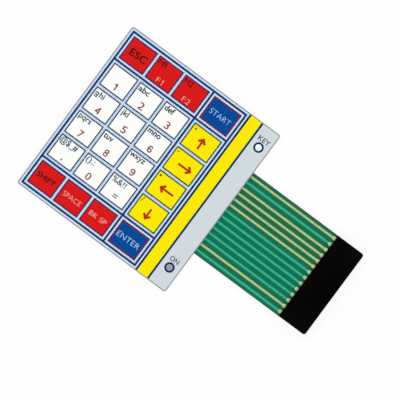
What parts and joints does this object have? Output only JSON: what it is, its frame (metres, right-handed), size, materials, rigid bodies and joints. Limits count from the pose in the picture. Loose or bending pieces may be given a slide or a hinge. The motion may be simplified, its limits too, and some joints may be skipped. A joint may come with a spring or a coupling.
{
  "type": "membrane keypad",
  "caption": "Flat laminated membrane keypad with embossed printed keys, lamp windows and a flexible circuit tail that ends in a black crimped socket connector.",
  "frame": {"origin": "centre of the panel's rear face, on the surface that it lies on", "axes": "+X along the tail towards the connector, +Y towards the end with the KEY lamp, +Z out of the printed keys"},
  "size_m": [0.117, 0.0708, 0.0028],
  "materials": {
    "liner": "coated paper",
    "adhesive": "clear adhesive",
    "circuit_film": "green coated film",
    "plated_lines": "pale plating",
    "coated_lines": "conductor under a green coat",
    "spacer": "milky film",
    "domes": "spring steel",
    "lamp_base": "white ceramic",
    "lamp_lens": "clear resin",
    "retainer": "clear film",
    "overlay_film": "pale blue printed polyester with a fine texture",
    "white_ink": "screen print",
    "red_ink": "screen print",
    "yellow_ink": "screen print",
    "blue_ink": "screen print",
    "slate_ink": "screen print",
    "maroon_ink": "screen print",
    "navy_ink": "screen print",
    "dark_ink": "screen print",
    "grey_ink": "screen print",
    "window_ink": "translucent screen print",
    "border_ink": "screen print",
    "housing": "black moulded nylon"
  },
  "bodies": {
    "root": {"release_liner": "liner", "rear_adhesive": "adhesive", "flex_circuit": "circuit_film", "row_conductors": "plated_lines", "column_conductors": "coated_lines", "lamp_conductors": "coated_lines", "dome_spacer": "spacer", "snap_domes": "domes", "lamp_bases": "lamp_base", "lamp_lenses": "lamp_lens", "dome_retainer": "retainer", "graphic_overlay": "overlay_film", "white_key_print": "white_ink", "red_key_print": "red_ink", "yellow_key_print": "yellow_ink", "blue_key_print": "blue_ink", "key_outline_print": "slate_ink", "blue_key_outline_print": "maroon_ink", "frame_print": "navy_ink", "stripe_print": "yellow_ink", "stripe_line_print": "dark_ink", "lamp_strip_print": "grey_ink", "lamp_ring_print": "navy_ink", "key_window_print": "white_ink", "on_window_print": "window_ink", "border_print": "border_ink", "crimp_contacts": "plated_lines", "connector_housing": "housing"}
  },
  "joints": []
}
